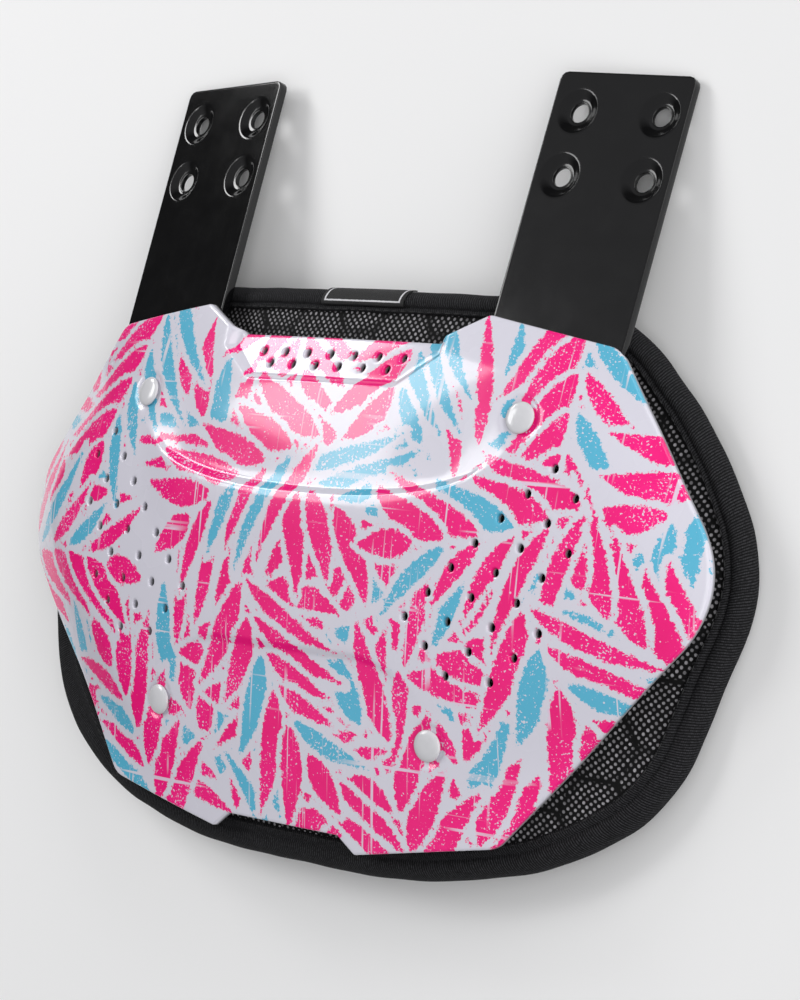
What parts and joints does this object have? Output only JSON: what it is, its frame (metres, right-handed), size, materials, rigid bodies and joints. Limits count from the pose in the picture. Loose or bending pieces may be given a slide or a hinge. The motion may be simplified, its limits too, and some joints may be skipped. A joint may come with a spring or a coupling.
{
  "type": "football back plate",
  "caption": "Lower-back protector: a vented, creased plastic shell riveted to bolt-on strap blades over an arched, bound mesh pad, worn below shoulder pads.",
  "frame": {"origin": "on the ground under the middle of the whole part's bounding box, as it lies pad side down", "axes": "+X across the wearer's back, +Y up the back to the strap tips, +Z outward from the back"},
  "size_m": [0.3118, 0.2612, 0.0425],
  "materials": {
    "shell": "semi-gloss moulded plastic with a printed face",
    "strap": "glossy black plastic",
    "rivet": "glossy white plastic",
    "mesh": "black knitted mesh over foam, with light dots",
    "binding": "matte black ribbed tape",
    "label": "woven label with a light border"
  },
  "bodies": {
    "root": {"shell": "shell", "strap_left": "strap", "strap_right": "strap", "rivet_top_left": "rivet", "rivet_top_right": "rivet", "rivet_bottom_left": "rivet", "rivet_bottom_right": "rivet", "pad_body": "mesh", "pad_binding": "binding", "pad_label": "label"}
  },
  "joints": []
}
